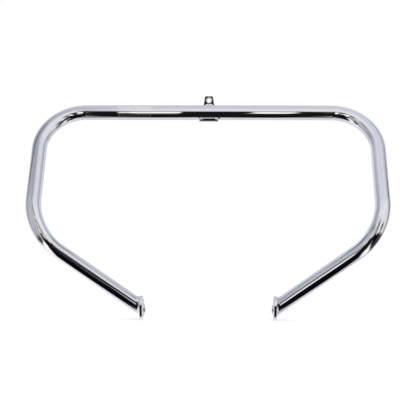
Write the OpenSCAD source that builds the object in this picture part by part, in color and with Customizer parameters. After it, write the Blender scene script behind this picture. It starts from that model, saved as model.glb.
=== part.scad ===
// Motorcycle engine guard: one bent tube with an upper bracket, two foot plates and their welds.
// The origin is the centre of the upper bolt hole. +X runs along the top bar and +Y points to the rear.

/* [Tube] */
// Outside diameter of the tube
tube_od = 31.75; // [25:0.25:38]
// Wall thickness of the tube
tube_wall = 2.4; // [1.6:0.1:4]
// Bend radius at the tube's centreline
bend_r = 95.25; // [80:0.25:110]
// Diameter of the drain hole in each leg
drain_d = 5; // [3:0.5:8]
// Distance of the drain hole from the leg's end
drain_setback = 30; // [24:1:60]

/* [Guard shape] */
// Length of the straight top bar between its bends
top_straight = 530; // [460:5:600]
// Angle of each upper corner
corner_angle = 90; // [84:1:94]
// Length of the straight side between its bends
side_straight = 125; // [90:1:160]
// Angle of each lower bend
knee_angle = 77; // [70:1:84]
// Turn of the lower bend out of the plane of the loop, towards the rear
knee_twist = 45; // [38:1:50]
// Backward lean of the upper loop
loop_lean = 30; // [22:1:36]

/* [Upper bracket] */
// Thickness of the bracket plate
bracket_t = 4.5; // [3:0.5:7]
// Width of the tab at its top
tab_top_w = 18; // [15:0.5:24]
// Width of the tab just above the bar
tab_base_w = 23.5; // [20:0.5:30]
// Width of the saddle that wraps behind and under the bar
saddle_w = 42; // [32:1:60]
// Height of the bolt hole above the bar's centreline
hole_height = 28.5; // [26:0.5:40]
// Height of the tab's top above the bolt hole
tab_rise = 9.5; // [9:0.5:16]
// Radius of the tab's top corners
tab_corner_r = 3; // [1:0.5:5]
// How far the saddle wraps from the back of the bar, down and to the front
saddle_wrap = 125; // [100:1:135]
// Radius of the corners at the saddle's front edge
lip_corner_r = 5; // [2:0.5:8]
// Height over which the tab widens to the saddle
flare_h = 18; // [12:0.5:22]

/* [Bolt bush] */
// Outside diameter of the bush in the tab
bush_od = 13.2; // [11:0.1:15]
// Bolt hole through the bush
bush_bore = 8.4; // [6.4:0.1:9]
// How far the bush stands out on each side of the tab
bush_proud = 1.2; // [0.6:0.1:2]

/* [Foot plates] */
// Distance between the inner faces of the two foot plates
foot_gap = 284; // [240:1:320]
// Thickness of a foot plate
foot_t = 6; // [4:0.5:10]
// Height of a foot plate
foot_h = 50.4; // [50:0.2:58]
// Depth of the foot plate's body, front to rear
foot_d = 52; // [51:0.5:60]
// Corner radius of the foot plate's body
foot_corner_r = 20; // [12:0.5:20]
// Distance of the bolt hole behind the leg's centreline
ear_reach = 39; // [36:0.5:50]
// Drop of the bolt hole below the leg's centreline
ear_drop = 8; // [0:0.5:10]
// Radius of the rounded ear around the bolt hole
ear_r = 13.5; // [12:0.5:18]
// Diameter of the foot's bolt hole
foot_bore = 10.5; // [8.4:0.1:13]
// Diameter of the raised boss round the bolt hole
boss_d = 18; // [16:0.5:22]
// Height of the boss above the plate's inner face
boss_h = 2; // [1:0.25:4]
// Chamfer along the plate's edges
foot_chamfer = 0.8; // [0.3:0.1:1.5]

/* [Welds] */
// Reach of the foot weld along the leg
weld_leg = 10; // [6:0.5:12]
// Reach of the foot weld over the plate
weld_toe = 4.2; // [3:0.1:4.5]
// Height of the ripples of a weld, as a share of its size
weld_ripple = 0.05; // [0:0.01:0.1]
// Distance between two ripples
ripple_pitch = 3.4; // [2:0.1:6]
// Height of the upper weld's toe on the tab, above the bar's centreline
upper_weld_h = 21; // [18:0.5:22]

/* [Clear film] */
// Length of the clear film round the bar
film_len = 72; // [40:1:120]
// Distance of the film's middle from the middle of the bar
film_offset = 160; // [120:1:180]
// Thickness of the film
film_t = 0.15; // [0.1:0.05:0.4]

/* [Fit] */
// Clearance between pieces that seat on each other
seat_gap = 0.05; // [0.02:0.01:0.2]

/* [Hidden] */

// Facets round a circle, and round a corner of a foot plate
$fn = 96;
disc_facets = 32;
// Small overlap that keeps a cut open
cut = 1;
// Room between two lengths of the tube's rod, and the rise of the ball that fills it
joint_gap = 0.3;
joint_bulge = 0.02;

tube_r = tube_od / 2;
bore_r = tube_r - tube_wall;

// The saddle's inner and outer radii round the bar
saddle_in = tube_r + seat_gap;
saddle_out = saddle_in + bracket_t;

// The bar's centreline, from the bolt hole in the middle of the tab's thickness
bar_y = -(saddle_in + saddle_out) / 2;
bar_z = -hole_height;

// Distance of the outer face of a foot plate from the middle
foot_x = foot_gap / 2 + foot_t;

// Where the lower bend starts, and the side's direction, in the plane of the loop
corner_x = top_straight / 2 + bend_r * sin(corner_angle) + side_straight * cos(corner_angle);
corner_drop = bend_r * (1 - cos(corner_angle)) + side_straight * sin(corner_angle);

// Unit vectors at the end of the side: along it, and away from the centre of the lower bend
side_dir = [cos(corner_angle), 0, -sin(corner_angle)];
side_out = [sin(corner_angle), 0, cos(corner_angle)];
knee_out = side_out * cos(knee_twist) + [0, -sin(knee_twist), 0];

// The leg of the right side, before the loop leans back
leg_dir = side_dir * cos(knee_angle) - knee_out * sin(knee_angle);
knee_start = [corner_x, 0, -corner_drop];
knee_end = knee_start + side_dir * bend_r * sin(knee_angle)
    - knee_out * bend_r * (1 - cos(knee_angle));
leg_len = (knee_end.x - foot_x) / -leg_dir.x;

// The same leg's direction and end in the bar's frame, with the lean
function lean(v) = [
    v.x,
    v.y * cos(loop_lean) + v.z * sin(loop_lean),
    v.z * cos(loop_lean) - v.y * sin(loop_lean)
];
leg_axis = lean(leg_dir);
foot_centre = lean(knee_end + leg_dir * leg_len);

// Two directions across the leg, for walking round it
across_a = cross([1, 0, 0], leg_axis) / norm(cross([1, 0, 0], leg_axis));
across_b = cross(leg_axis, across_a);

// Moves a shape from the bar's frame to the part's frame
module in_bar_frame() {
    translate([0, bar_y, bar_z])
        children();
}

// Places a shape at the end of a leg, in the part's frame: side is 1 at the right and -1 at the left
module at_foot(side) {
    in_bar_frame()
        mirror([side < 0 ? 1 : 0, 0, 0])
            translate(foot_centre)
                children();
}

// A straight length of rod along the way ahead
module rod(r, length) {
    rotate([0, 90, 0])
        cylinder(h = length, r = r);
}

// A bend of rod, down from the way ahead
module rod_bend(r, angle) {
    translate([0, 0, -bend_r])
        rotate([0, -90, -90])
            rotate_extrude(angle = angle)
                translate([bend_r, 0])
                    circle(r);
}

// A ball a hair wider than the rod, which closes the joint of two lengths
module joint_ball(r) {
    rotate([0, 90, 0])
        sphere(r + joint_bulge);
}

// Moves the way ahead to the end of a bend
module past_bend(angle) {
    translate([0, 0, -bend_r])
        rotate([0, angle, 0])
            translate([0, 0, bend_r])
                children();
}

// Follows the right half of the tube to the start of its leg
module past_knee() {
    translate([top_straight / 2, 0, 0])
        past_bend(corner_angle)
            translate([side_straight, 0, 0])
                rotate([knee_twist, 0, 0])
                    past_bend(knee_angle)
                        children();
}

// The right half of the tube as a solid rod that runs on past the foot by extra
module half_rod(r, extra) {
    rod(r, top_straight / 2);
    translate([top_straight / 2, 0, 0]) {
        rod_bend(r, corner_angle);
        past_bend(corner_angle) {
            joint_ball(r);
            translate([joint_gap, 0, 0])
                rod(r, side_straight - 2 * joint_gap);
            translate([side_straight, 0, 0])
                rotate([knee_twist, 0, 0]) {
                    joint_ball(r);
                    rod_bend(r, knee_angle);
                }
        }
    }
    past_knee() {
        joint_ball(r);
        translate([joint_gap, 0, 0])
            rod(r, leg_len + extra);
    }
}

// Both halves of the rod, leaning back
module whole_rod(r, extra) {
    rotate([-loop_lean, 0, 0])
        union() {
            half_rod(r, extra);
            mirror([1, 0, 0])
                half_rod(r, extra);
        }
}

// Drain hole on the hidden rear side of a leg
module drain_hole() {
    past_knee()
        translate([leg_len - drain_setback, 0, 0])
            rotate([-90, 0, 0])
                cylinder(h = tube_od, d = drain_d);
}

// The bent tube, cut flat where it meets the foot plates
module guard_tube() {
    // The cut reaches past the slanted end of each leg
    end_extra = 2 * tube_od;
    color("gainsboro")
        in_bar_frame()
            difference() {
                whole_rod(tube_r, end_extra);
                whole_rod(bore_r, end_extra + cut);
                translate([0, foot_centre.y, foot_centre.z])
                    cube([2 * foot_x, 5 * tube_od, 5 * tube_od], center = true);
                rotate([-loop_lean, 0, 0]) {
                    drain_hole();
                    mirror([1, 0, 0])
                        drain_hole();
                }
            }
}

// Half width of the bracket plate at a height above the bar's centreline
tab_top_z = hole_height + tab_rise;
function smooth(t) = t * t * (3 - 2 * t);
function flare_half(z) = (saddle_w + (tab_base_w - saddle_w) * smooth(z / flare_h)) / 2;

// Right edge of the flat part of the bracket, from the saddle up to the tab's rounded corner
flare_steps = 12;
corner_steps = 6;
tab_edge = concat(
    [for (i = [0 : flare_steps]) let (z = flare_h * i / flare_steps) [flare_half(z), z]],
    [for (i = [0 : corner_steps]) let (a = 90 * i / corner_steps)
        [tab_top_w / 2 - tab_corner_r * (1 - cos(a)), tab_top_z - tab_corner_r * (1 - sin(a))]]
);
tab_outline = concat(
    tab_edge,
    [for (i = [len(tab_edge) - 1 : -1 : 0]) [-tab_edge[i].x, tab_edge[i].y]]
);

// Plan of the saddle from below, with the corners of its front edge rounded
module saddle_plan() {
    reach = saddle_out * sin(saddle_wrap - 90);
    half_w = saddle_w / 2;
    translate([-half_w, lip_corner_r - reach])
        square([saddle_w, saddle_out + reach]);
    translate([lip_corner_r - half_w, -reach])
        square([saddle_w - 2 * lip_corner_r, 2 * lip_corner_r]);
    for (s = [-1, 1])
        translate([s * (half_w - lip_corner_r), lip_corner_r - reach])
            circle(lip_corner_r);
}

// Formed plate: tab above, flat behind the bar, saddle below
module upper_bracket() {
    color("gainsboro")
        in_bar_frame()
            difference() {
                union() {
                    translate([0, saddle_out, 0])
                        rotate([90, 0, 0])
                            linear_extrude(bracket_t)
                                polygon(tab_outline);
                    intersection() {
                        rotate([-90, 0, 90])
                            rotate_extrude(angle = saddle_wrap)
                                translate([saddle_in, -saddle_w / 2])
                                    square([bracket_t, saddle_w]);
                        translate([0, 0, -2 * saddle_out])
                            linear_extrude(4 * saddle_out)
                                saddle_plan();
                    }
                }
                translate([0, saddle_in - cut, hole_height])
                    rotate([-90, 0, 0])
                        cylinder(h = bracket_t + 2 * cut, d = bush_od + 2 * seat_gap);
            }
}

// Round bush in the tab, with a rounded rim at each end
module tab_bush() {
    bush_len = bracket_t + 2 * bush_proud;
    rim_r = (bush_od - bush_bore) / 4;
    rim_ring_r = (bush_od + bush_bore) / 4;
    color("silver")
        rotate([90, 0, 0])
            difference() {
                union() {
                    cylinder(h = bush_len - 2 * rim_r, d = bush_od, center = true);
                    for (s = [-1, 1])
                        translate([0, 0, s * (bush_len / 2 - rim_r)])
                            rotate_extrude()
                                translate([rim_ring_r, 0])
                                    circle(rim_r);
                }
                cylinder(h = bush_len + 2 * cut, d = bush_bore, center = true);
            }
}

// Closed skin over a list of rings with the same number of points each
module ring_skin(rings, closed) {
    n = len(rings[0]);
    m = len(rings);
    last = closed ? m - 1 : m - 2;
    sides = [for (i = [0 : last], j = [0 : n - 1])
        let (a = i * n, b = ((i + 1) % m) * n, k = (j + 1) % n)
            each [[a + j, a + k, b + k], [a + j, b + k, b + j]]];
    caps = closed ? [] : [
        [for (j = [n - 1 : -1 : 0]) j],
        [for (j = [0 : n - 1]) (m - 1) * n + j]
    ];
    polyhedron(points = [for (r = rings) each r], faces = concat(sides, caps), convexity = 6);
}

// Point on a curve from a to c that leans towards b
function curve(a, b, c, t) = a * (1 - t) * (1 - t) + b * 2 * t * (1 - t) + c * t * t;

// Fillet weld round the leg on its foot plate
module foot_weld() {
    around = 96;
    face_steps = 4;
    // Full ripples round the slanted cut of the leg
    ripples = round(PI * tube_r * (1 + 1 / abs(leg_axis.x)) / ripple_pitch);
    // The facets stay outside the tube
    ring_r = (tube_r + seat_gap) / cos(180 / around);
    // How deeply the weld's face is hollowed, as a share of the way to its root
    hollow = 0.4;
    rings = [for (i = [0 : around - 1])
        let (
            t = 360 * i / around,
            out = across_a * cos(t) + across_b * sin(t),
            root = out * ring_r - leg_axis * (out.x * ring_r / leg_axis.x),
            size = 1 + weld_ripple * cos(ripples * t),
            over = [0, out.y, out.z] / norm([0, out.y, out.z]),
            heel = root - leg_axis * weld_leg * size,
            toe = root + over * weld_toe * size,
            mid = root + (heel + toe - 2 * root) / 2 * (1 - hollow)
        )
        concat([root], [for (j = [0 : face_steps]) curve(heel, mid, toe, j / face_steps)])];
    ring_skin(rings, true);
}

// Share of full size that a straight weld has at a place along it, from -1 to 1
function weld_swell(s) = sqrt(max(0, 1 - pow(abs(s), 4)));

// Stations along a straight weld, with the place of each from -1 to 1
function stations(count) = [for (i = [0 : count]) -cos(180 * (i + 0.5) / (count + 1))];

// Weld in the groove between the top of the bar and the tab
module upper_weld() {
    half_len = tab_base_w / 2;
    ripples = round(tab_base_w / ripple_pitch);
    arc_steps = 8;
    face_steps = 4;
    // The weld's span round the bar, in degrees above the level of its centreline
    root_angle = 30;
    top_angle = 88;
    // How deeply the weld's face is hollowed, as a share of the way to its root
    hollow = 0.1;
    // The facets stay outside the tube
    ring_r = (tube_r + seat_gap) / cos((top_angle - root_angle) / arc_steps / 2);
    root_z = ring_r * sin(root_angle);
    rings = [for (s = stations(28))
        let (
            size = weld_swell(s) * (1 + weld_ripple * cos(180 * ripples * s)) / (1 + weld_ripple),
            end_angle = root_angle + (top_angle - root_angle) * size,
            end_z = root_z + (upper_weld_h - root_z) * size,
            heel = [0, ring_r * cos(end_angle), ring_r * sin(end_angle)],
            toe = [0, tube_r, end_z],
            flat_mid = (heel + toe) / 2,
            mid = flat_mid + ([0, tube_r, root_z] - flat_mid) * hollow * size
        )
        [for (p = concat(
            [for (j = [0 : arc_steps]) let (a = root_angle + (end_angle - root_angle) * j / arc_steps)
                [0, ring_r * cos(a), ring_r * sin(a)]],
            [for (j = [1 : face_steps]) curve(heel, mid, toe, j / face_steps)],
            [[0, tube_r, root_z]]
        )) [s * half_len, p.y, p.z]]];
    color("gainsboro")
        in_bar_frame()
            ring_skin(rings, false);
}

// Weld along the saddle's front edge, under the bar
module lower_weld() {
    half_len = saddle_w / 2;
    ripples = round(saddle_w / ripple_pitch / 2);
    arc_steps = 3;
    face_steps = 6;
    // The weld's reach round the bar, in degrees, beyond the saddle's front edge
    reach_angle = 18;
    edge_angle = -saddle_wrap;
    // How far the weld's face bulges beyond the straight line from heel to toe
    bulge = 0.1;
    // The facets stay outside the tube
    ring_r = (tube_r + seat_gap) / cos(reach_angle / arc_steps / 2);
    rings = [for (s = stations(40))
        let (
            size = weld_swell(s) * (1 + weld_ripple * cos(180 * ripples * s)) / (1 + weld_ripple),
            end_angle = edge_angle - reach_angle * size,
            toe_r = ring_r + (saddle_out - ring_r) * size,
            heel = [0, ring_r * cos(end_angle), ring_r * sin(end_angle)],
            toe = [0, toe_r * cos(edge_angle), toe_r * sin(edge_angle)],
            mid = (heel + toe) / 2 * (1 + bulge * size)
        )
        [for (p = concat(
            [for (j = [0 : arc_steps]) let (a = edge_angle + (end_angle - edge_angle) * j / arc_steps)
                [0, ring_r * cos(a), ring_r * sin(a)]],
            [for (j = [1 : face_steps]) curve(heel, mid, toe, j / face_steps)]
        )) [s * half_len, p.y, p.z]]];
    color("gainsboro")
        in_bar_frame()
            ring_skin(rings, false);
}

// Disc with chamfered edges, whose axis runs along X from the plate's outer face
module edge_disc(r, y, z) {
    translate([-foot_t, y, z])
        rotate([0, 90, 0]) {
            translate([0, 0, foot_chamfer])
                cylinder(h = foot_t - 2 * foot_chamfer, r = r, $fn = disc_facets);
            cylinder(h = foot_t, r = r - foot_chamfer, $fn = disc_facets);
        }
}

// Foot plate with its ear, boss and bolt hole, drawn for the right side
module foot_plate() {
    inset_y = foot_d / 2 - foot_corner_r;
    inset_z = foot_h / 2 - foot_corner_r;
    difference() {
        union() {
            hull() {
                edge_disc(foot_corner_r, -inset_y, inset_z);
                edge_disc(foot_corner_r, -inset_y, -inset_z);
                edge_disc(foot_corner_r, inset_y, -inset_z);
                edge_disc(ear_r, ear_reach, -ear_drop);
            }
            translate([-foot_t - boss_h, ear_reach, -ear_drop])
                rotate([0, 90, 0])
                    cylinder(h = boss_h + foot_t / 2, d = boss_d);
        }
        translate([-foot_t - boss_h - cut, ear_reach, -ear_drop])
            rotate([0, 90, 0])
                cylinder(h = foot_t + boss_h + 2 * cut, d = foot_bore);
    }
}

module left_foot_plate() {
    color("gainsboro")
        at_foot(-1)
            foot_plate();
}

module right_foot_plate() {
    color("gainsboro")
        at_foot(1)
            foot_plate();
}

module left_foot_weld() {
    color("gainsboro")
        at_foot(-1)
            foot_weld();
}

module right_foot_weld() {
    color("gainsboro")
        at_foot(1)
            foot_weld();
}

// Thin clear film wrapped round the left part of the top bar
module clear_film() {
    color("azure", 0.4)
        in_bar_frame()
            translate([-film_offset - film_len / 2, 0, 0])
                rotate([0, 90, 0])
                    difference() {
                        cylinder(h = film_len, r = tube_r + seat_gap + film_t);
                        translate([0, 0, -cut])
                            cylinder(h = film_len + 2 * cut, r = tube_r + seat_gap);
                    }
}

guard_tube();
upper_bracket();
tab_bush();
upper_weld();
lower_weld();
left_foot_plate();
right_foot_plate();
left_foot_weld();
right_foot_weld();
clear_film();
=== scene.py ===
import math

import bmesh
import bpy
import numpy as np
from mathutils import Matrix, Vector


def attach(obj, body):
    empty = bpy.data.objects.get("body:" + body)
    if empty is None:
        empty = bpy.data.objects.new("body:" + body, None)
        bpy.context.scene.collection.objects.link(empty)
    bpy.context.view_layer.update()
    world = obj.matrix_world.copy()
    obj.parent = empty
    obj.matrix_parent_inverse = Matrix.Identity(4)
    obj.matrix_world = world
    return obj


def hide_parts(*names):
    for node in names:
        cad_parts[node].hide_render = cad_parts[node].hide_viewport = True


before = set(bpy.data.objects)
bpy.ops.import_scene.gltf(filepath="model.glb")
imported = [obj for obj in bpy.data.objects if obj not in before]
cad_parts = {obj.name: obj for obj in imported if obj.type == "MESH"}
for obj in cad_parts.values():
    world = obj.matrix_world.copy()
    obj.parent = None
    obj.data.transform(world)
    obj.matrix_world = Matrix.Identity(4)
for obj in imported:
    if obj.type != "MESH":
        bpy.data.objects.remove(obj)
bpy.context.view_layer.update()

# Sizes of the guard in metres, as in the part's source
TUBE_R = 0.015875
WALL = 0.0024
BEND_R = 0.09525
HALF_BAR = 0.265
SIDE = 0.125
KNEE = math.radians(77)
TWIST = math.radians(45)
LEAN = math.radians(30)
SEAT = 0.00005
PLATE_T = 0.0045
SADDLE_IN = TUBE_R + SEAT
SADDLE_OUT = SADDLE_IN + PLATE_T
BAR = np.array([0.0, -(SADDLE_IN + SADDLE_OUT) / 2, -0.0285])
FOOT_X = 0.148
MIRROR = np.array([-1.0, 1.0, 1.0])
X_AXIS = np.array([1.0, 0.0, 0.0])


# Mesh helpers
def make(name, verts, faces, material, smooth=True):
    """A mesh object at the origin with one material."""
    mesh = bpy.data.meshes.new(name)
    mesh.from_pydata([tuple(map(float, v)) for v in verts], [], [tuple(f) for f in faces])
    mesh.validate()
    mesh.update()
    ob = bpy.data.objects.new(name, mesh)
    bpy.context.scene.collection.objects.link(ob)
    if smooth:
        mesh.shade_smooth()
    if material is not None:
        mesh.materials.append(material)
    return ob


def skin(rings, closed_ring=True, closed_path=False, caps=False):
    """Vertices and faces of a skin over rings of equal length."""
    n = len(rings[0])
    m = len(rings)
    faces = []
    for i in range(m if closed_path else m - 1):
        a = i * n
        b = ((i + 1) % m) * n
        for j in range(n if closed_ring else n - 1):
            k = (j + 1) % n
            faces.append((a + j, a + k, b + k, b + j))
    if caps:
        faces.append(tuple(range(n - 1, -1, -1)))
        faces.append(tuple((m - 1) * n + j for j in range(n)))
    return np.vstack(rings), faces


def outward(ob):
    """Turns all faces outward."""
    bm = bmesh.new()
    bm.from_mesh(ob.data)
    bmesh.ops.recalc_face_normals(bm, faces=bm.faces)
    bm.to_mesh(ob.data)
    bm.free()
    ob.data.update()


def apply_modifiers(ob):
    """Bakes the object's modifiers into its mesh."""
    bpy.context.view_layer.update()
    graph = bpy.context.evaluated_depsgraph_get()
    baked = bpy.data.meshes.new_from_object(ob.evaluated_get(graph), depsgraph=graph)
    ob.modifiers.clear()
    ob.data = baked


def turns_of(count):
    """Angles of a full turn in equal steps."""
    return np.arange(count) * 2 * math.pi / count


def drill(ob, start, end, radius, along, around=64):
    """Cuts a round hole from start to end."""
    axis = (end - start) / np.linalg.norm(end - start)
    u = along - (along @ axis) * axis
    u /= np.linalg.norm(u)
    w = np.cross(axis, u)
    a = turns_of(around)
    ring = radius * (np.cos(a)[:, None] * u + np.sin(a)[:, None] * w)
    verts, faces = skin([ring + start, ring + end], caps=True)
    cutter = make("cutter", verts, faces, None)
    outward(cutter)
    mod = ob.modifiers.new("hole", "BOOLEAN")
    mod.operation = "DIFFERENCE"
    mod.object = cutter
    mod.solver = "EXACT"
    apply_modifiers(ob)
    bpy.data.objects.remove(cutter)


def smooth_but_for(ob, angle):
    """Shades the mesh smooth, apart from edges sharper than the angle."""
    ob.data.shade_smooth()
    ob.data.set_sharp_from_angle(angle=math.radians(angle))


def even_normals(ob, angle):
    """Shades flats flat and rounded edges round."""
    smooth_but_for(ob, angle)
    mod = ob.modifiers.new("normals", "WEIGHTED_NORMAL")
    mod.mode = "FACE_AREA"
    mod.weight = 60
    mod.keep_sharp = True
    apply_modifiers(ob)


def hand_in(ob, replaced):
    """Ties a finished piece to the body and hides the CAD node it replaces."""
    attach(ob, "root")
    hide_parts(replaced)


# The tube's centreline
def lean(p):
    """Turns a point or a direction of the upright loop back with the guard."""
    c, s = math.cos(LEAN), math.sin(LEAN)
    return np.array([p[0], p[1] * c + p[2] * s, p[2] * c - p[1] * s])


SIDE_DIR = np.array([0.0, 0.0, -1.0])
KNEE_OUT = np.array([math.cos(TWIST), -math.sin(TWIST), 0.0])
KNEE_START = np.array([HALF_BAR + BEND_R, 0.0, -BEND_R - SIDE])
LEG_DIR = SIDE_DIR * math.cos(KNEE) - KNEE_OUT * math.sin(KNEE)
LEG_AXIS = lean(LEG_DIR)


def on_knee(a):
    """A point of the lower bend, an angle along it."""
    return KNEE_START + SIDE_DIR * BEND_R * math.sin(a) - KNEE_OUT * BEND_R * (1 - math.cos(a))


KNEE_END = on_knee(KNEE)
LEG_LEN = (KNEE_END[0] - FOOT_X) / -LEG_DIR[0]
FOOT = lean(KNEE_END + LEG_DIR * LEG_LEN) + BAR


def half_path():
    """Points and directions of the right half, from the middle of the bar to the foot."""
    out = []
    for x in np.linspace(0, HALF_BAR, 23)[:-1]:
        out.append((np.array([x, 0, 0]), X_AXIS))
    for a in np.linspace(0, math.pi / 2, 121)[:-1]:
        out.append((np.array([HALF_BAR + BEND_R * math.sin(a), 0, -BEND_R * (1 - math.cos(a))]),
                    np.array([math.cos(a), 0, -math.sin(a)])))
    for s in np.linspace(0, SIDE, 12)[:-1]:
        out.append((np.array([HALF_BAR + BEND_R, 0, -BEND_R - s]), SIDE_DIR))
    for a in np.linspace(0, KNEE, 103)[:-1]:
        out.append((on_knee(a), SIDE_DIR * math.cos(a) - KNEE_OUT * math.sin(a)))
    # The last ring but one keeps clear of the slanting end
    for s in np.linspace(0, LEG_LEN - 0.019, 20):
        out.append((KNEE_END + LEG_DIR * s, LEG_DIR))
    out.append((KNEE_END + LEG_DIR * LEG_LEN, LEG_DIR))
    return [(lean(p) + BAR, lean(d)) for p, d in out]


def tube_rings(radius, around):
    """Rings of the whole tube, from the left foot to the right foot."""
    right = half_path()
    left = [(p * MIRROR, -d * MIRROR) for p, d in right[:0:-1]]
    path = left + right
    rings = []
    across = np.array([0.0, 0.0, 1.0])
    a = turns_of(around)
    for p, d in path:
        across = across - (across @ d) * d
        across /= np.linalg.norm(across)
        other = np.cross(d, across)
        rings.append(p + radius * (np.cos(a)[:, None] * across + np.sin(a)[:, None] * other))
    # The ends are cut flat where they meet the foot plates
    for i, sign in ((0, -1), (-1, 1)):
        d = path[i][1]
        ring = rings[i]
        rings[i] = ring + ((sign * FOOT_X - ring[:, 0]) / d[0])[:, None] * d
    return rings


# Materials
def node(tree, kind, **values):
    """A new shader node with its settings."""
    n = tree.nodes.new(kind)
    for k, v in values.items():
        setattr(n, k, v)
    return n


def noise(tree, scale, detail, stretch=None):
    """Noise over the object's own coordinates, in metres."""
    coord = node(tree, "ShaderNodeTexCoord")
    tex = node(tree, "ShaderNodeTexNoise")
    tex.inputs["Scale"].default_value = scale
    tex.inputs["Detail"].default_value = detail
    source = coord.outputs["Object"]
    if stretch:
        place = node(tree, "ShaderNodeMapping")
        place.inputs["Scale"].default_value = stretch
        tree.links.new(source, place.inputs["Vector"])
        source = place.outputs[0]
    tree.links.new(source, tex.inputs["Vector"])
    return tex.outputs["Fac"]


def spread(tree, value, low, high, start=0.3, end=0.7):
    """Maps a value from start and end to low and high, and holds it there."""
    m = node(tree, "ShaderNodeMapRange")
    m.inputs["From Min"].default_value = start
    m.inputs["From Max"].default_value = end
    m.inputs["To Min"].default_value = low
    m.inputs["To Max"].default_value = high
    tree.links.new(value, m.inputs["Value"])
    return m.outputs[0]


def bump(tree, height, distance, onto=None):
    """Bends the normal by a height, on top of another bump where one is given."""
    b = node(tree, "ShaderNodeBump")
    b.inputs["Distance"].default_value = distance
    b.inputs["Strength"].default_value = 1
    tree.links.new(height, b.inputs["Height"])
    if onto is not None:
        tree.links.new(onto, b.inputs["Normal"])
    return b.outputs[0]


def cloudy(tree, dark, light, scale):
    """A colour that drifts between two tones."""
    mix = node(tree, "ShaderNodeMix", data_type="RGBA")
    mix.inputs["A"].default_value = (*dark, 1)
    mix.inputs["B"].default_value = (*light, 1)
    tree.links.new(spread(tree, noise(tree, scale, 3), 0, 1), mix.inputs["Factor"])
    return mix.outputs["Result"]


def metal(name, dark, light, rough, wave, grain, metallic=1.0):
    """Polished metal: cloudy colour and roughness, a slow waviness and a fine grain."""
    m = bpy.data.materials.new(name)
    m.use_nodes = True
    t = m.node_tree
    b = t.nodes["Principled BSDF"]
    b.inputs["Metallic"].default_value = metallic
    t.links.new(cloudy(t, dark, light, 60), b.inputs["Base Color"])
    smear = noise(t, 260, 5, (1, 3, 3))
    t.links.new(spread(t, smear, *rough), b.inputs["Roughness"])
    slow = bump(t, noise(t, wave[0], 1), wave[1])
    fine = bump(t, noise(t, grain[0], 4), grain[1], slow)
    t.links.new(fine, b.inputs["Normal"])
    return m


CHROME = metal("chrome", (0.875, 0.885, 0.90), (0.91, 0.915, 0.925), (0.01, 0.035),
               wave=(38, 0.000012), grain=(1400, 0.0000003))
WELD = metal("chrome_weld", (0.82, 0.83, 0.85), (0.89, 0.895, 0.91), (0.04, 0.10),
             wave=(300, 0.00003), grain=(1500, 0.000002))
BUSH = metal("bush_steel", (0.66, 0.65, 0.65), (0.80, 0.78, 0.78), (0.30, 0.45),
             wave=(900, 0.00001), grain=(4000, 0.000006), metallic=0.55)

# Tube: two vertices of the outer skin to one of the inner skin
AROUND_OUT, AROUND_IN = 128, 64
outer, faces = skin(tube_rings(TUBE_R, AROUND_OUT))
inner, inner_faces = skin(tube_rings(TUBE_R - WALL, AROUND_IN))
shift = len(outer)
faces += [tuple(shift + i for i in f[::-1]) for f in inner_faces]
for o0, i0 in ((0, shift), (shift - AROUND_OUT, shift + len(inner) - AROUND_IN)):
    for j in range(AROUND_IN):
        a, b, c = o0 + 2 * j, o0 + 2 * j + 1, o0 + (2 * j + 2) % AROUND_OUT
        d, e = i0 + j, i0 + (j + 1) % AROUND_IN
        faces.append((a, b, d))
        faces.append((b, c, e, d))
tube = make("guard_tube_visual", np.vstack([outer, inner]), faces, CHROME)
outward(tube)
# Drain holes on the hidden rear side of the legs, cut from inside the bore outward
DRAIN_R, DRAIN_FROM_FOOT, DRAIN_IN, DRAIN_OUT = 0.0025, 0.030, 0.006, 0.022
for flip in (MIRROR, np.ones(3)):
    at = (lean(KNEE_END + LEG_DIR * (LEG_LEN - DRAIN_FROM_FOOT)) + BAR) * flip
    away = lean([math.sin(TWIST), math.cos(TWIST), 0.0]) * flip
    drill(tube, at + away * DRAIN_IN, at + away * DRAIN_OUT, DRAIN_R, LEG_AXIS * flip)
smooth_but_for(tube, 40)
hand_in(tube, "guard_tube")

# Upper bracket: one plate, tab above and saddle below
TAB_TOP = 0.038
TAB_CORNER = 0.003
TAB_HALF = 0.009
FLARE_H = 0.018
BASE_HALF = 0.01175
SADDLE_HALF = 0.021
WRAP = math.radians(125)
LIP_R = 0.005
REACH = SADDLE_OUT * math.sin(WRAP - math.pi / 2)
EDGE = 0.0007
MID_R = (SADDLE_IN + SADDLE_OUT) / 2
BUSH_R = 0.0066


def smooth(t):
    """An even passage from 0 to 1."""
    return t * t * (3 - 2 * t)


def tab_half(z):
    """Half width of the tab at a height over the bar."""
    if z <= FLARE_H:
        return SADDLE_HALF + (BASE_HALF - SADDLE_HALF) * smooth(max(z, 0) / FLARE_H)
    start = TAB_TOP - TAB_CORNER
    if z <= start:
        return BASE_HALF + (TAB_HALF - BASE_HALF) * (z - FLARE_H) / (start - FLARE_H)
    h = min((z - start) / TAB_CORNER, 1)
    return TAB_HALF - TAB_CORNER * (1 - math.sqrt(1 - h * h))


def plan_half(y):
    """Half width of the saddle at a depth, with the rounded corners of its front edge."""
    t = -y - (REACH - LIP_R)
    if t <= 0:
        return SADDLE_HALF
    t = min(t / LIP_R, 1)
    return SADDLE_HALF - LIP_R * (1 - math.sqrt(1 - t * t))


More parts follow.
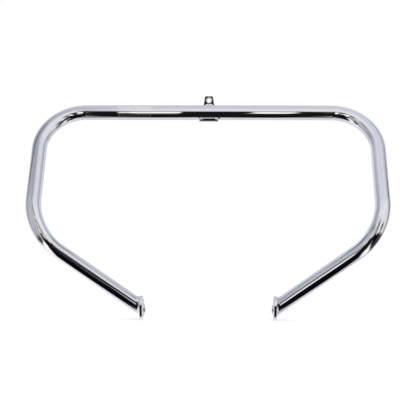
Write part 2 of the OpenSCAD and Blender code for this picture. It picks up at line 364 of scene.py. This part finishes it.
def section(half, thick):
    """Rounded rectangle, half across and thick deep, as (across, depth) pairs."""
    count, arc = 14, 5
    e = min(EDGE, half * 0.98, thick / 2)
    bend = [math.pi / 2 * i / arc for i in range(1, arc)]
    across = [(half - e) * (2 * i / count - 1) for i in range(count + 1)]
    pts = [(x, thick / 2) for x in across]
    pts += [(half - e + e * math.sin(a), thick / 2 - e + e * math.cos(a)) for a in bend]
    pts += [(half, thick / 2 - e), (half, -thick / 2 + e)]
    pts += [(half - e + e * math.cos(a), -thick / 2 + e - e * math.sin(a)) for a in bend]
    pts += [(-x, -thick / 2) for x in across]
    pts += [(-(half - e) - e * math.sin(a), -thick / 2 + e - e * math.cos(a)) for a in bend]
    pts += [(-half, -thick / 2 + e), (-half, thick / 2 - e)]
    pts += [(-half + e - e * math.cos(a), thick / 2 - e + e * math.sin(a)) for a in bend]
    return pts


def rounded(depth):
    """How far the plate draws in at a depth from its end, for a rounded end."""
    return EDGE - math.sqrt(max(0.0, EDGE ** 2 - (EDGE - depth) ** 2)) if depth < EDGE else 0.0


rings = []
zs = [TAB_TOP - EDGE * (1 - math.sin(a)) for a in np.linspace(math.pi / 2, 0, 5)]
zs += [TAB_TOP - EDGE - (TAB_CORNER - EDGE) * t for t in np.linspace(0.1, 1, 8)]
zs += list(np.linspace(TAB_TOP - TAB_CORNER, FLARE_H, 6)[1:])
zs += list(np.linspace(FLARE_H, 0, 20)[1:])
for z in zs:
    shrink = rounded(TAB_TOP - z)
    half = tab_half(min(z, TAB_TOP - 0.0004)) - shrink
    rings.append(np.array([[x, MID_R + t, z] for x, t in section(half, PLATE_T - 2 * shrink)]))
tail = EDGE / MID_R
wraps = [w for w in np.linspace(0, WRAP, 60)[1:] if w < WRAP - tail]
wraps += [WRAP - tail * (1 - math.sin(a)) for a in np.linspace(0, math.pi / 2, 5)]
for w in wraps:
    shrink = rounded((WRAP - w) * MID_R)
    ring = []
    for x, t in section(1.0, PLATE_T - 2 * shrink):
        y, z = (MID_R + t) * math.cos(w), -(MID_R + t) * math.sin(w)
        half = plan_half(y) - shrink
        # The section was drawn one wide: its middle part scales and its rounded edge keeps its size
        if abs(x) > 1.0 - EDGE - 1e-9:
            x = math.copysign(half - (1.0 - abs(x)), x)
        else:
            x = x / (1.0 - EDGE) * (half - EDGE)
        ring.append([x, y, z])
    rings.append(np.array(ring))
verts, faces = skin([r + BAR for r in rings], caps=True)
bracket = make("upper_bracket_visual", verts, faces, CHROME)
outward(bracket)
# Hole for the bush
through = np.array([0, 0.006, 0])
drill(bracket, -through, through, BUSH_R + SEAT, X_AXIS, 96)
even_normals(bracket, 35)
hand_in(bracket, "upper_bracket")

# Bush: a turned ring with rounded rims
BUSH_BORE, BUSH_HALF = 0.0042, 0.00345
RIM = (BUSH_R - BUSH_BORE) / 2
profile = []
for s in (-1, 1):
    for a in np.linspace(0, math.pi, 17):
        ang = a if s > 0 else math.pi + a
        profile.append(((BUSH_R + BUSH_BORE) / 2 + RIM * math.cos(ang), (BUSH_HALF - RIM) * s + RIM * math.sin(ang)))
rings = [np.array([[r * math.cos(a), y, r * math.sin(a)] for r, y in profile]) for a in turns_of(96)]
verts, faces = skin(rings, closed_path=True)
bush = make("tab_bush_visual", verts, faces, BUSH)
outward(bush)
hand_in(bush, "tab_bush")

# Welds
WELD_IN = TUBE_R + SEAT * 0.6
UPPER_TOE = 0.021


def curve(a, b, c, t):
    """A point of the curve that leaves a for b and ends in c."""
    return a * (1 - t) ** 2 + b * 2 * t * (1 - t) + c * t * t


def swell(s, power):
    """Full in the middle of a bead and falling to nothing at its ends."""
    return math.sqrt(max(0.0, 1 - abs(s) ** power))


def straight_weld(half_len, count, ripples, rise, power, outline):
    """A rippled bead along the bar, with closed ends."""
    rings = []
    for i in range(count + 1):
        s = -math.cos(math.pi * (i + 0.5) / (count + 1))
        size = swell(s, power) * (1 + rise * math.cos(math.pi * ripples * s)) / (1 + rise)
        rings.append(np.array([[s * half_len, y, z] for y, z in outline(size)]) + BAR)
    return skin(rings, caps=True)


def arc_point(r, a):
    """Depth and height of a point round the bar."""
    return np.array([r * math.cos(a), r * math.sin(a)])


def upper_profile(size):
    """Bead from the tab's face down to the top of the bar."""
    arc, face = 10, 10
    a0, a1 = math.radians(30), math.radians(88)
    root = np.array([TUBE_R, WELD_IN * math.sin(a0)])
    end = a0 + (a1 - a0) * size
    heel = arc_point(WELD_IN, end)
    toe = np.array([TUBE_R, root[1] + (UPPER_TOE - root[1]) * size])
    mid = (heel + toe) / 2
    mid = mid + (root - mid) * 0.1 * size
    pts = [arc_point(WELD_IN, a0 + (end - a0) * j / arc) for j in range(arc + 1)]
    pts += [curve(heel, mid, toe, j / face) for j in range(1, face + 1)]
    return pts + [root]


def lower_profile(size):
    """Convex bead from the bar to the saddle's front edge."""
    arc, face = 6, 16
    edge = -WRAP
    end = edge - math.radians(9) * size
    heel = arc_point(WELD_IN, end)
    toe = arc_point(WELD_IN + (SADDLE_OUT - WELD_IN) * size, edge)
    mid = (heel + toe) / 2 + np.array([-0.00172, 0.00145]) * size
    pts = [arc_point(WELD_IN, edge + (end - edge) * j / arc) for j in range(arc + 1)]
    return pts + [curve(heel, mid, toe, j / face) for j in range(1, face + 1)]


def hand_in_weld(name, verts, faces):
    """A weld bead with its end faces kept crisp."""
    ob = make(name + "_visual", verts, faces, WELD)
    outward(ob)
    ob.data.set_sharp_from_angle(angle=math.radians(50))
    hand_in(ob, name)


hand_in_weld("upper_weld", *straight_weld(BASE_HALF, 120, 7, 0.03, 4, upper_profile))
hand_in_weld("lower_weld", *straight_weld(SADDLE_HALF, 170, 12, 0.004, 8, lower_profile))

ACROSS_A = np.cross([1, 0, 0], LEG_AXIS)
ACROSS_A /= np.linalg.norm(ACROSS_A)
ACROSS_B = np.cross(LEG_AXIS, ACROSS_A)
WELD_LEG, WELD_TOE, RIPPLE_PITCH = 0.010, 0.0042, 0.0034


def foot_weld():
    """Rippled fillet round the right leg at its plate."""
    face = 12
    girth = math.pi * TUBE_R * (1 + 1 / abs(LEG_AXIS[0]))
    ripples = round(girth / RIPPLE_PITCH)
    rings = []
    for t in turns_of(288):
        out = ACROSS_A * math.cos(t) + ACROSS_B * math.sin(t)
        root = out * WELD_IN - LEG_AXIS * (out[0] * WELD_IN / LEG_AXIS[0])
        size = 1 + 0.014 * math.cos(ripples * t)
        over = np.array([0, out[1], out[2]])
        over /= np.linalg.norm(over)
        heel = root - LEG_AXIS * WELD_LEG * size
        toe = root + over * WELD_TOE * size
        mid = root + (heel + toe - 2 * root) / 2 * 0.6
        pts = [root] + [curve(heel, mid, toe, j / face) for j in range(face + 1)]
        rings.append(np.array(pts) + FOOT)
    return skin(rings, closed_path=True)


# Foot plates: four corner discs (rearward, upward, radius) from the foot's centre, the last one the ear
DISCS = [(-0.006, 0.0052, 0.020), (-0.006, -0.0052, 0.020), (0.006, -0.0052, 0.020), (0.039, -0.008, 0.0135)]
PLATE_DEEP, PLATE_EDGE, PLATE_AROUND = 0.006, 0.0011, 192
BOSS_R, BOSS_H, FOOT_BORE = 0.009, 0.002, 0.00525


def foot_outline(inset):
    """Convex outline round the plate's discs."""
    pts = []
    for t in turns_of(PLATE_AROUND):
        d = np.array([math.cos(t), math.sin(t)])
        best = max(DISCS, key=lambda k: k[0] * d[0] + k[1] * d[1] + k[2])
        pts.append(np.array(best[:2]) + d * (best[2] - inset))
    return np.array(pts)


def foot_plate():
    """Right plate, forged, with rounded edges, a boss with a soft foot, and a bored bolt hole."""
    a = turns_of(PLATE_AROUND)

    def circle(r):
        """Round the bolt hole, as many points as the outline."""
        return np.c_[DISCS[3][0] + r * np.cos(a), DISCS[3][1] + r * np.sin(a)]

    quarter = np.linspace(0, math.pi / 2, 7)
    rings = [(0.0004, circle(FOOT_BORE)), (0.0, circle(FOOT_BORE + 0.0004))]
    for t in quarter:
        rings.append((PLATE_EDGE * (1 - math.cos(t)), foot_outline(PLATE_EDGE * (1 - math.sin(t)))))
    for t in quarter[::-1]:
        rings.append((PLATE_DEEP - PLATE_EDGE * (1 - math.cos(t)), foot_outline(PLATE_EDGE * (1 - math.sin(t)))))
    fillet, rim = 0.0008, 0.0005
    for t in np.linspace(0, math.pi / 2, 5):
        rings.append((PLATE_DEEP + fillet * (1 - math.cos(t)), circle(BOSS_R + fillet * (1 - math.sin(t)))))
    top = PLATE_DEEP + BOSS_H
    for t in np.linspace(0, math.pi / 2, 5):
        rings.append((top - rim * (1 - math.sin(t)), circle(BOSS_R - rim * (1 - math.cos(t)))))
    rings.append((top, circle(FOOT_BORE + rim)))
    rings.append((top - rim, circle(FOOT_BORE)))
    verts, faces = skin([np.c_[np.full(len(a), -x), o] for x, o in rings], closed_path=True)
    return verts + FOOT, faces


for tag, flip in (("left", MIRROR), ("right", 1)):
    verts, faces = foot_weld()
    hand_in_weld(tag + "_foot_weld", verts * flip, faces)
    verts, faces = foot_plate()
    ob = make(tag + "_foot_plate_visual", verts * flip, faces, CHROME)
    outward(ob)
    even_normals(ob, 38)
    hand_in(ob, tag + "_foot_plate")


# Clear film: a sheet wound once round the bar, lapped at the rear, with a denser haze along its two ends that is a
# painted glint of its cut ends
def clear_sheet(name, alpha):
    """Film that lets nearly all light through and adds a little haze."""
    m = bpy.data.materials.new(name)
    m.use_nodes = True
    t = m.node_tree
    b = t.nodes["Principled BSDF"]
    b.inputs["Alpha"].default_value = alpha
    b.inputs["Roughness"].default_value = 0.12
    b.inputs["IOR"].default_value = 1.3
    t.links.new(cloudy(t, (0.90, 0.86, 0.87), (0.98, 0.96, 0.97), 120), b.inputs["Base Color"])
    t.links.new(bump(t, noise(t, 120, 2), 0.00001), b.inputs["Normal"])
    return m


FILM_MID, FILM_HALF, FILM_GAP, FILM_T = -0.160, 0.036, 0.00004, 0.00003
FILM_LAP, FILM_START = 0.35, 0.4
rings = []
turns = np.linspace(0, 2 * math.pi + FILM_LAP, 150)
for u in [-1, -0.975, -0.95, -0.925] + list(np.linspace(-0.9, 0.9, 31)) + [0.925, 0.95, 0.975, 1]:
    ring = []
    for a in turns:
        lap = min(max((a - 2 * math.pi) / 0.1 + 1, 0), 1)
        r = TUBE_R + SEAT + FILM_GAP + 2 * FILM_GAP * smooth(lap)
        # The cut ends waver a little and the corners of the sheet are cut round
        corner = min(a, turns[-1] - a) * TUBE_R
        cut = 0.0015 * (1 - min(corner / 0.002, 1)) ** 2
        half = FILM_HALF - 0.0003 - cut + 0.00025 * math.sin(3 * a + u) * abs(u)
        ring.append([FILM_MID + u * half, r * math.cos(a + FILM_START), r * math.sin(a + FILM_START)])
    rings.append(np.array(ring) + BAR)
verts, faces = skin(rings, closed_ring=False)
film = make("clear_film_visual", verts, faces, clear_sheet("clear_film", 0.017))
# The end bands get a denser haze: painted glint along the film's cut ends
film.data.materials.append(clear_sheet("clear_film_end_glint", 0.036))
for face in film.data.polygons:
    if abs(face.center[0] - FILM_MID) > 0.89 * FILM_HALF:
        face.material_index = 1
outward(film)
mod = film.modifiers.new("sheet", "SOLIDIFY")
mod.thickness = FILM_T
apply_modifiers(film)
smooth_but_for(film, 60)
hand_in(film, "clear_film")

# Camera, from the photograph's perspective
CAMERA_AT = (0.0400314, -2.2178110, -0.2354652)
LENS, SENSOR = 87.65, 36
yaw, roll = math.radians(-1.07), math.radians(0.21)
right = Vector((math.cos(roll) * math.cos(yaw), -math.cos(roll) * math.sin(yaw), math.sin(roll)))
ahead = Vector((math.sin(yaw), math.cos(yaw), 0))
up = Vector((-math.sin(roll) * math.cos(yaw), math.sin(roll) * math.sin(yaw), math.cos(roll)))
cam_data = bpy.data.cameras.new("camera")
cam_data.sensor_width = SENSOR
cam_data.lens = LENS
cam = bpy.data.objects.new("camera", cam_data)
place = Matrix.Identity(4)
for i in range(3):
    place[i][0], place[i][1], place[i][2] = right[i], up[i], -ahead[i]
place.translation = CAMERA_AT
cam.matrix_world = place
bpy.context.scene.collection.objects.link(cam)
bpy.context.scene.camera = cam

# Floor, just under the foot plates
FLOOR_HALF, FLOOR_Z, FLOOR_GLOW = 8, -0.4786, 0.55
corners = [(-1, -1), (1, -1), (1, 1), (-1, 1)]
floor = make("floor", [(x * FLOOR_HALF, y * FLOOR_HALF, FLOOR_Z) for x, y in corners], [(0, 1, 2, 3)], None)
paper = bpy.data.materials.new("floor")
paper.use_nodes = True
b = paper.node_tree.nodes["Principled BSDF"]
b.inputs["Base Color"].default_value = (0.5, 0.5, 0.5, 1)
b.inputs["Roughness"].default_value = 1
b.inputs["Specular IOR Level"].default_value = 0
b.inputs["Emission Color"].default_value = (1, 1, 1, 1)
b.inputs["Emission Strength"].default_value = FLOOR_GLOW
floor.data.materials.append(paper)
floor.visible_glossy = False
floor.visible_diffuse = False

# Studio: world by direction for reflections, white for the camera
# Elevation in degrees and colour, in front of the guard and behind it
FRONT = [
    (-90, (0.860, 0.866, 0.875)),
    (-60, (1.120, 1.120, 1.120)),
    (-20, (0.677, 0.678, 0.685)),
    (0, (0.829, 0.830, 0.840)),
    (15, (0.732, 0.725, 0.740)),
    (30, (0.858, 0.854, 0.902)),
    (60, (0.682, 0.698, 0.770)),
    (90, (0.622, 0.632, 0.720)),
]
REAR = [
    (-90, (0.655, 0.656, 0.661)),
    (-60, (0.622, 0.656, 0.795)),
    (-35, (0.714, 0.726, 0.735)),
    (-12, (0.724, 0.736, 0.749)),
    (-3, (0.588, 0.594, 0.598)),
    (4, (0.777, 0.801, 0.827)),
    (25, (0.698, 0.752, 0.834)),
    (55, (0.717, 0.722, 0.728)),
    (90, (0.571, 0.568, 0.571)),
]
# Where the front passes into the rear, and over how much, by the direction's Y
REAR_MID, REAR_WIDE = 0.2399, 0.7723
world = bpy.data.worlds.new("studio")
bpy.context.scene.world = world
world.use_nodes = True
nt = world.node_tree
nt.nodes.clear()
coord = node(nt, "ShaderNodeTexCoord")
sep = node(nt, "ShaderNodeSeparateXYZ")
nt.links.new(coord.outputs["Generated"], sep.inputs[0])
asin = node(nt, "ShaderNodeMath", operation="ARCSINE")
nt.links.new(sep.outputs["Z"], asin.inputs[0])
height = spread(nt, asin.outputs[0], 0, 1, -math.pi / 2, math.pi / 2)


def by_elevation(stops):
    """Colour by the height of the direction."""
    ramp = node(nt, "ShaderNodeValToRGB")
    points = ramp.color_ramp.elements
    while len(points) < len(stops):
        points.new(0.5)
    for e, (deg, colour) in zip(points, stops):
        e.position = (deg + 90) / 180
        e.color = (*colour, 1)
    nt.links.new(height, ramp.inputs[0])
    return ramp.outputs["Color"]


rear = node(nt, "ShaderNodeMapRange", interpolation_type="SMOOTHSTEP")
rear.inputs["From Min"].default_value = REAR_MID - REAR_WIDE / 2
rear.inputs["From Max"].default_value = REAR_MID + REAR_WIDE / 2
nt.links.new(sep.outputs["Y"], rear.inputs["Value"])
mix = node(nt, "ShaderNodeMix", data_type="RGBA")
nt.links.new(rear.outputs[0], mix.inputs["Factor"])
nt.links.new(by_elevation(FRONT), mix.inputs["A"])
nt.links.new(by_elevation(REAR), mix.inputs["B"])
path = node(nt, "ShaderNodeLightPath")
either = node(nt, "ShaderNodeMath", operation="MAXIMUM")
nt.links.new(path.outputs["Is Glossy Ray"], either.inputs[0])
nt.links.new(path.outputs["Is Transmission Ray"], either.inputs[1])
pick = node(nt, "ShaderNodeMix", data_type="RGBA")
nt.links.new(either.outputs[0], pick.inputs["Factor"])
pick.inputs["A"].default_value = (1, 1, 1, 1)
nt.links.new(mix.outputs["Result"], pick.inputs["B"])
sky = node(nt, "ShaderNodeBackground")
nt.links.new(pick.outputs["Result"], sky.inputs["Color"])
out = node(nt, "ShaderNodeOutputWorld")
nt.links.new(sky.outputs[0], out.inputs["Surface"])

# Cards: azimuth, elevation, distance from the centre, width, height, turn, softness and colour, in degrees and metres.
# The last four lie where the bar mirrors them at the clear film
CARD_CENTRE = np.array([0, -0.05, -0.24])
CARDS = [
    (-8.31, 1.74, 1.589, 0.187, 0.721, -0.96, 0.013, (1.300, 1.300, 1.300)),
    (7.76, 4.76, 1.653, 0.167, 0.760, 0.60, 0.025, (0.718, 0.717, 0.716)),
    (-1.61, -16.67, 1.555, 1.296, 2.332, -0.26, 0.487, (0.009, 0.007, 0.010)),
    (8.37, -72.82, 0.838, 1.018, 0.765, 3.81, 0.162, (0.003, 0.003, 0.005)),
    (-88.81, -34.30, 2.683, 1.037, 0.685, -48.78, 0.243, (0.077, 0.079, 0.085)),
    (74.48, -34.71, 1.608, 3.031, 0.782, -3.90, 0.194, (0.051, 0.053, 0.062)),
    (51.13, -6.23, 3.802, 1.282, 1.571, 35.61, 0.279, (0.198, 0.193, 0.195)),
    (-54.48, -20.50, 2.673, 2.005, 1.783, -3.48, 0.158, (0.345, 0.327, 0.338)),
    (-9.31, -86.78, 2.093, 0.656, 0.030, 14.13, 1.464, (0.697, 0.698, 0.698)),
    (-69.82, -93.18, 3.261, 0.976, 0.928, -28.15, 0.337, (1.072, 1.073, 1.074)),
    (19.87, 3.86, 2.933, 1.907, 1.687, -99.99, 0.373, (0.825, 0.820, 0.827)),
    (-73.90, 25.88, 0.805, 1.225, 1.473, -94.33, 0.985, (0.367, 0.382, 0.446)),
    (104.09, 20.37, 1.950, 2.922, 1.497, 92.57, 1.264, (0.471, 0.488, 0.556)),
    (-24.72, -1.58, 1.369, 0.193, 0.456, 3.60, 0.057, (0.586, 0.585, 0.586)),
    (51.28, 10.94, 2.444, 0.706, 0.973, 3.62, 0.322, (0.773, 0.773, 0.776)),
    (-50.93, -8.12, 3.332, 0.444, 0.577, 2.90, 0.077, (0.774, 0.774, 0.774)),
    (7.83, -7.82, 1.493, 0.147, 0.595, -4.10, 0.059, (1.120, 1.110, 1.109)),
    (-10.84, -4.24, 0.999, 0.143, 0.356, -1.82, 0.037, (0.526, 0.457, 0.474)),
    (-4.28, -72.59, 1.402, 0.144, 0.751, -15.67, 0.130, (0.656, 0.656, 0.656)),
    (72.34, -47.56, 0.784, 0.654, 0.183, -3.91, 0.186, (1.002, 1.002, 1.005)),
    (0.98, -32.20, 1.156, 0.959, 0.946, 0.90, 0.157, (0.011, 0.007, 0.008)),
    (114.29, -24.52, 0.904, 0.228, 1.624, 0.03, 0.058, (0.485, 0.485, 0.503)),
    (56.08, -24.59, 0.837, 0.251, 0.263, 15.21, 0.090, (0.001, 0.001, 0.002)),
    (69.23, -85.99, 0.831, 0.438, 0.197, 4.86, 0.072, (0.370, 0.383, 0.432)),
    (31.46, -16.85, 0.940, 0.564, 0.180, -27.30, 0.065, (0.005, 0.004, 0.003)),
    (-41.03, -36.21, 1.146, 0.363, 0.215, -0.66, 0.073, (1.120, 1.120, 1.120)),
    (-58.89, -26.16, 0.896, 0.495, 0.179, 17.25, 0.081, (0.068, 0.065, 0.075)),
    (15.71, 13.55, 0.611, 0.068, 0.146, 18.98, 0.011, (1.120, 1.120, 1.120)),
    (107.99, -70.88, 0.614, 0.203, 0.071, 68.21, 0.033, (0.245, 0.247, 0.249)),
    (-106.23, -80.48, 0.850, 0.153, 0.225, 42.40, 0.028, (0.403, 0.416, 0.439)),
    (-36.98, 12.38, 0.704, 0.097, 0.202, 36.19, 0.010, (0.573, 0.573, 0.575)),
    (-122.15, -39.68, 1.112, 1.036, 0.355, -8.90, 0.049, (1.028, 1.027, 1.028)),
    (-31.44, 27.75, 0.767, 0.294, 0.090, -18.87, 0.121, (0.046, 0.042, 0.049)),
    (-152.39, -4.84, 0.557, 0.284, 0.720, 1.31, 0.032, (0.651, 0.680, 0.732)),
    (170.63, 36.74, 1.366, 0.764, 5.268, -14.83, 0.626, (0.581, 0.608, 0.698)),
    (-7.23, 28.15, 1.369, 0.931, 0.090, 2.04, 0.037, (0.535, 0.530, 0.534)),
    (107.23, 2.71, 1.821, 0.293, 1.515, 3.69, 0.059, (0.055, 0.055, 0.059)),
    (-97.31, -2.38, 1.276, 0.348, 1.220, 26.34, 0.066, (0.356, 0.356, 0.360)),
    (73.30, -74.64, 0.765, 0.489, 0.069, 42.04, 0.009, (0.003, 0.003, 0.004)),
    (-87.44, 24.03, 0.508, 0.034, 0.294, -4.46, 0.040, (0.144, 0.146, 0.157)),
    (-61.15, 6.26, 0.565, 0.396, 0.422, -2.56, 0.205, (0.497, 0.506, 0.555)),
    (100.74, -60.17, 0.454, 0.034, 0.272, 14.16, 0.016, (0.543, 0.546, 0.565)),
    (-12.33, 1.74, 1.600, 0.051, 0.721, -0.96, 0.010, (0.890, 0.860, 0.900)),
    (-15.06, 41.80, 1.436, 0.116, 0.760, 10.17, 0.020, (0.930, 0.930, 0.950)),
    (-28.30, 67.10, 1.509, 0.116, 0.700, 26.40, 0.020, (0.790, 0.800, 0.860)),
    (-117.50, 78.20, 1.539, 0.116, 0.720, -62.00, 0.020, (0.690, 0.720, 0.810)),
]
# A small dark flag close under the bracket's lip
FLAG = (0, 90, 0.12, 0.047, 0.16, 0, 0.006, (0.012, 0.01, 0.012))


def soft_glow(name, w, h, soft, colour):
    """A plain glow that fades out round a rectangle's edges."""
    m = bpy.data.materials.new(name)
    m.use_nodes = True
    t = m.node_tree
    t.nodes.clear()
    coord = node(t, "ShaderNodeTexCoord")
    sep = node(t, "ShaderNodeSeparateXYZ")
    t.links.new(coord.outputs["UV"], sep.inputs[0])
    inside = node(t, "ShaderNodeMath", operation="MULTIPLY")
    for i, (axis, half) in enumerate((("X", w / 2), ("Y", h / 2))):
        off = node(t, "ShaderNodeMath", operation="ABSOLUTE")
        t.links.new(sep.outputs[axis], off.inputs[0])
        t.links.new(spread(t, off.outputs[0], 0, 1, half + soft / 2, half - soft / 2), inside.inputs[i])
    fade = node(t, "ShaderNodeMapRange", interpolation_type="SMOOTHSTEP")
    t.links.new(inside.outputs[0], fade.inputs["Value"])
    glow = node(t, "ShaderNodeEmission")
    glow.inputs["Color"].default_value = (*colour, 1)
    clear = node(t, "ShaderNodeBsdfTransparent")
    both = node(t, "ShaderNodeMixShader")
    t.links.new(fade.outputs[0], both.inputs["Fac"])
    t.links.new(clear.outputs[0], both.inputs[1])
    t.links.new(glow.outputs[0], both.inputs[2])
    out = node(t, "ShaderNodeOutputMaterial")
    t.links.new(both.outputs[0], out.inputs["Surface"])
    m.cycles.emission_sampling = "NONE"
    return m


def card(name, az, el, dist, w, h, turn, soft, colour):
    """A soft-edged panel that only reflections show."""
    a, e, t = math.radians(az), math.radians(el), math.radians(turn)
    n = np.array([math.sin(a) * math.cos(e), -math.cos(a) * math.cos(e), math.sin(e)])
    r = np.array([math.cos(a), math.sin(a), 0.0])
    u = np.cross(n, r)
    u = -u if u[2] < 0 else u
    r, u = r * math.cos(t) + u * math.sin(t), -r * math.sin(t) + u * math.cos(t)
    c = CARD_CENTRE + n * dist
    half_w, half_h = (w + soft) / 2, (h + soft) / 2
    pts = [c + r * half_w * x + u * half_h * y for x, y in corners]
    ob = make(name, pts, [(0, 1, 2, 3)], soft_glow(name, w, h, soft, colour), smooth=False)
    uv = ob.data.uv_layers.new(name="UVMap")
    for i, (x, y) in enumerate(corners):
        uv.data[i].uv = (x * half_w, y * half_h)
    ob.visible_camera = False
    ob.visible_diffuse = False
    ob.visible_shadow = False
    ob.visible_transmission = False
    ob.visible_volume_scatter = False


for i, row in enumerate(CARDS + [FLAG]):
    card("card_%02d" % i, *row)

# The lamp lights the film and the bush, and no mirror shows it
lamp = bpy.data.lights.new("key", "AREA")
lamp.size = 2.5
lamp.energy = 30
key = bpy.data.objects.new("key", lamp)
key.location = (0.8, -1.6, 2.6)
key.rotation_euler = (math.radians(32), 0, math.radians(26))
bpy.context.scene.collection.objects.link(key)
key.visible_glossy = False
key.visible_camera = False

bpy.context.scene.view_settings.view_transform = "Standard"
# Many soft cards lie behind one another
bpy.context.scene.cycles.transparent_max_bounces = 32
